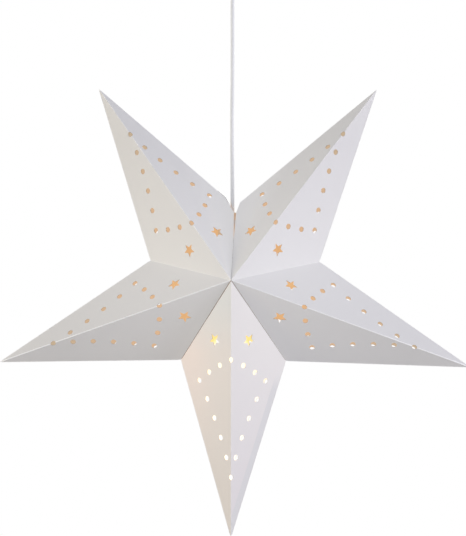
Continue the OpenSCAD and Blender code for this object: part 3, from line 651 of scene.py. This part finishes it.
def star_punch(stand):
    """A five-pointed punch whose own axes are the columns of stand."""
    bpy.ops.object.select_all(action="DESELECT")
    bpy.ops.mesh.primitive_circle_add(vertices=PUNCH_CORNERS, radius=PUNCH_R, fill_type="NGON")
    punch = bpy.context.active_object
    for number, corner in enumerate(punch.data.vertices):
        reach = PUNCH_R * (1 if number % 2 == 0 else PUNCH_WAIST)
        angle = math.radians(360 / PUNCH_CORNERS * number)
        corner.co = (reach * math.cos(angle), reach * math.sin(angle), -PUNCH_DEPTH / 2)
    bpy.ops.object.mode_set(mode="EDIT")
    bpy.ops.mesh.select_all(action="SELECT")
    bpy.ops.mesh.extrude_region_move(TRANSFORM_OT_translate={"value": (0, 0, PUNCH_DEPTH)})
    bpy.ops.mesh.select_all(action="SELECT")
    bpy.ops.mesh.normals_make_consistent(inside=False)
    bpy.ops.object.mode_set(mode="OBJECT")
    punch.matrix_world = stand
    bpy.ops.object.transform_apply(location=True, rotation=True, scale=True)
    return punch


print("star punch:", round(2000 * PUNCH_R, 1), "mm across")

# %% [markdown]
# A hole's place is written as shares of the ridge's length: so far down from the tip, and so far
# aside. On the upper left arm all holes sit a little nearer the apex. Each panel is replaced by
# its own copy. The triangles of its flat faces are dissolved first, because a Boolean leaves thin
# slivers between them that show as dark lines, and then the punch goes through.

# %% Punched panels
HOLE_DOWN, HOLE_ASIDE, HOLE_SLIP = 0.7715, 0.0855, 0.0075
FLAT_WITHIN = math.radians(0.2)
slips = {arm: HOLE_SLIP if arm == "upper_left" else 0.0 for arm in ARMS}


def punched_panel(arm, face, side):
    """A copy of one panel, with its star-shaped hole opened up."""
    name = f"{arm}_arm_{face}_{side}"
    valley_arm = arm if side == "ccw" else arm_before[arm]
    apex, tip, corner = apexes[face], tips[arm], valleys.get(valley_arm, seam_end)
    along = (tip - apex).normalized()
    aside = (corner - apex) - (corner - apex).dot(along) * along
    aside.normalize()
    middle = tip - (HOLE_DOWN + slips[arm]) * RIDGE * along + HOLE_ASIDE * RIDGE * aside
    turn = Matrix((along, aside, along.cross(aside))).transposed().to_4x4()
    punch = star_punch(Matrix.Translation(middle) @ turn)

    panel = merged_copy(name, "_card")
    bpy.ops.object.mode_set(mode="EDIT")
    bpy.ops.mesh.dissolve_limited(angle_limit=FLAT_WITHIN)
    bpy.ops.object.mode_set(mode="OBJECT")
    bpy.ops.object.shade_flat()
    cut = panel.modifiers.new("star hole", "BOOLEAN")
    cut.operation = "DIFFERENCE"
    cut.solver = "EXACT"
    cut.object = punch
    bpy.ops.object.modifier_apply(modifier=cut.name)
    bpy.data.objects.remove(punch)
    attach(panel, name)
    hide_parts(name)
    return panel


panels = [punched_panel(arm, face, side)
          for arm in arm_order for face in apexes for side in ("cw", "ccw")]
print("panels:", len(panels), "faces:", sum(len(panel.data.polygons) for panel in panels))

# %% [markdown]
# ## Creases
# A crease in heavy card is not a sharp line: the fibres stretch over it and leave a fine round
# bead, which catches the light and closes the joint between two panels. It could be a bump in the
# material, but a bump has no outline. So each one is a slim cylinder along the line where two
# panels meet, cut near both ends and narrowed there.

# %% A bead along a line
BEAD_R = 0.00023
BEAD_SIDES, BEAD_END, BEAD_POINT = 10, 0.0006, 0.35


def bead_along(name, start, end, radii, body, material):
    """A fine round bead of card from start to end. radii gives its radius at each end."""
    run = (end - start).normalized()
    half = (end - start).length / 2
    bpy.ops.object.select_all(action="DESELECT")
    bpy.ops.mesh.primitive_cylinder_add(vertices=BEAD_SIDES, radius=1, depth=2 * half)
    bead = bpy.context.active_object
    bead.name = name
    bpy.ops.object.mode_set(mode="EDIT")
    for level in (half - BEAD_END, BEAD_END - half):
        bpy.ops.mesh.select_all(action="SELECT")
        bpy.ops.mesh.bisect(plane_co=(0, 0, level), plane_no=(0, 0, 1))
    bpy.ops.object.mode_set(mode="OBJECT")
    for vertex in bead.data.vertices:
        share = (vertex.co.z + half) / (2 * half)
        radius = radii[0] + (radii[1] - radii[0]) * share
        if abs(vertex.co.z) > half - BEAD_END / 2:
            radius *= BEAD_POINT
        vertex.co.x *= radius
        vertex.co.y *= radius
    bead.rotation_euler = run.to_track_quat("Z", "Y").to_euler()
    bead.location = (start + end) / 2
    bpy.ops.object.transform_apply(location=True, rotation=True, scale=True)
    bpy.ops.object.shade_smooth_by_angle(angle=ROUND_SHADING)
    bead.data.materials.append(material)
    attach(bead, body)
    return bead


print("a plain bead is", round(2000 * BEAD_R, 2), "mm thick")

# %% [markdown]
# A few creases of the front stand out in the photograph. They catch the light or lie in shade, so
# they are listed with a radius at the start, a radius at the end, and a finish of their own. Two
# punched holes sit on each ridge, and there the bead is left open and its runs are joined again.

# %% Finish and holes of a crease
RIDGE_HOLES, RIDGE_HOLE_R = (0.2395, 0.7036), 0.0034
SHOWN = {
    "left_front_ridge": (0.00034, 0.00042, bright_crease),
    "right_front_ridge": (0.00024, 0.00044, bright_crease),
    "upper_left_front_ridge": (0.00020, 0.00028, soft_crease),
    "upper_left_front_valley": (0.00032, 0.00018, soft_crease),
    "right_front_valley": (0.00032, 0.00016, soft_crease),
    "left_front_valley": (0.00038, 0.00026, warm_crease),
    "bottom_front_valley": (0.00030, 0.00012, warm_crease)}


def crease(name, start, end, body, start_gap, end_gap, holes=()):
    """The bead of a crease. holes gives the middles of its holes, in metres from its start."""
    run = (end - start).normalized()
    length = (end - start).length
    near, far, material = SHOWN.get(name, (BEAD_R, BEAD_R, crease_card))
    stops = [start_gap]
    for hole in sorted(holes):
        stops += [hole - RIDGE_HOLE_R, hole + RIDGE_HOLE_R]
    stops.append(length - end_gap)
    runs = []
    for a, b in zip(stops[::2], stops[1::2]):
        radii = [near + (far - near) * place / length for place in (a, b)]
        runs.append(bead_along(name, start + a * run, start + b * run, radii, body, material))
    bpy.ops.object.select_all(action="DESELECT")
    for bead in runs:
        bead.select_set(True)
    bpy.context.view_layer.objects.active = runs[0]
    if len(runs) > 1:
        bpy.ops.object.join()
    return runs[0]


print("creases with a finish of their own:", len(SHOWN))

# %% [markdown]
# Now all of them are laid: ridges and valleys from both apexes, and the outer edges where front
# and back meet. Each rides on the panel on one side, and the other panel turns about it. They
# stop short of their ends, so that they don't touch there when the star folds.

# %% All the creases
APEX_GAPS = {"front": 0.0004, "back": 0.002}
TIP_GAP, EDGE_GAP = 0.0015, 0.003
creases = []
for face, apex in apexes.items():
    for arm, tip in tips.items():
        holes = [(tip - apex).length - (down + slips[arm]) * RIDGE for down in RIDGE_HOLES]
        creases.append(crease(f"{arm}_{face}_ridge", apex, tip, f"{arm}_arm_{face}_cw",
                              APEX_GAPS[face], TIP_GAP, holes))
    for arm, valley in valleys.items():
        creases.append(crease(f"{arm}_{face}_valley", apex, valley, f"{arm}_arm_{face}_ccw",
                              APEX_GAPS[face], TIP_GAP))
for arm, tip in tips.items():
    if arm in valleys:
        creases.append(crease(f"{arm}_outer_edge_ccw", valleys[arm], tip,
                              f"{arm}_arm_front_ccw", EDGE_GAP, EDGE_GAP))
    if arm_before[arm] in valleys:
        creases.append(crease(f"{arm}_outer_edge_cw", valleys[arm_before[arm]], tip,
                              f"{arm}_arm_front_cw", EDGE_GAP, EDGE_GAP))
print("crease beads:", len(creases))

# %% [markdown]
# ## The slit and the notch
# The two ends of the card meet in a slit above the middle. From the apex up, a dark bead of
# painted shade lies in it, so it shows as a dark hairline, and only its upper part lets light out.
# The left side of the notch round the cord gets a dark line of painted shade along its cut edge.
# All of these are as slim as the creases, so they are made in the same way, from a dark finish of
# painted shade.

# %% Slit lines and notch edge
SLIT_FROM, SLIT_SHARE = 0.0004, 0.56
SLIT_SUNK_LOW, SLIT_SUNK_HIGH = 0.0003, 0.0005
NOTCH_LEFT, NOTCH_SEAM, SEAM_OPEN, NOTCH_FADE = 0.0176, 0.0126, 0.0015, 0.013
slit_panels = {face: f"upper_left_arm_{face}_cw" for face in apexes}


def inward_from(apex):
    """The way from an apex straight into the star."""
    return Vector((0, -apex.y, 0)).normalized()


# Each slit line is painted shade: a dark bead in the slit.
for face, apex in apexes.items():
    inward = inward_from(apex)
    start = apex + SLIT_FROM * (seam_end - apex).normalized() + SLIT_SUNK_LOW * inward
    end = apex + SLIT_SHARE * (seam_end - apex) + SLIT_SUNK_HIGH * inward
    bead_along(f"{face}_slit_line", start, end, (0.00032, 0.00042), slit_panels[face], edge_shade)
along_edge = (tips["upper_left"] - seam_end).normalized()
down_seam = (apexes["front"] - seam_end).normalized()
shoulder = seam_end + NOTCH_LEFT * along_edge
notch_corner = seam_end + NOTCH_SEAM * down_seam + Vector((-SEAM_OPEN, 0, 0))
bead_along("notch_edge_lower", notch_corner, shoulder, (0.00030, 0.00028),
           slit_panels["front"], edge_shade)
bead_along("notch_edge_upper", shoulder, shoulder + NOTCH_FADE * along_edge, (0.00026, 0.00010),
           slit_panels["front"], edge_shade)
print("slit line:", round((end - start).length, 4), "m")

# %% [markdown]
# ## The apexes
# Ten corners of card meet at each apex and leave a pinhole between them. The photograph shows no
# light there. The corners could be drawn closer, but then they would cut into each other as the
# star folds. So a small stop sits just inside: a short cylinder whose outer end is inset and
# raised into a low dome.

# %% Apex stops
STOP_SIDES, STOP_DEPTH = 20, 0.0006
DOME_INSET, DOME_RISE, STOP_SUNK = 0.5, 0.25, 0.55


def apex_stop(name, apex, radius, body, material):
    """A small domed stop just inside an apex. Its dome is a share of its radius."""
    inward = inward_from(apex)
    bpy.ops.object.select_all(action="DESELECT")
    bpy.ops.mesh.primitive_cylinder_add(vertices=STOP_SIDES, radius=radius, depth=STOP_DEPTH)
    stop = bpy.context.active_object
    stop.name = name
    bpy.ops.object.mode_set(mode="EDIT")
    bpy.ops.mesh.select_all(action="DESELECT")
    bpy.ops.object.mode_set(mode="OBJECT")
    for flat in stop.data.polygons:
        flat.select = flat.normal.z > 0.9
    bpy.ops.object.mode_set(mode="EDIT")
    bpy.ops.mesh.inset(thickness=radius * DOME_INSET, depth=radius * DOME_RISE)
    bpy.ops.object.mode_set(mode="OBJECT")
    stop.rotation_euler = (-inward).to_track_quat("Z", "Y").to_euler()
    stop.location = apex + (STOP_DEPTH + radius * STOP_SUNK) * inward
    bpy.ops.object.transform_apply(location=True, rotation=True, scale=True)
    stop.data.materials.append(material)
    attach(stop, body)
    print(name, round(2000 * radius, 1), "mm across")


# The front stop is painted shade: a dark dot where the apex lies in shade.
apex_stop("front_apex_stop", apexes["front"], 0.0012, "bottom_arm_front_cw", edge_shade)
apex_stop("back_apex_stop", apexes["back"], 0.0024, "bottom_arm_back_cw", crease_card)

# %% [markdown]
# ## The end

# %% The end
print("scene built")
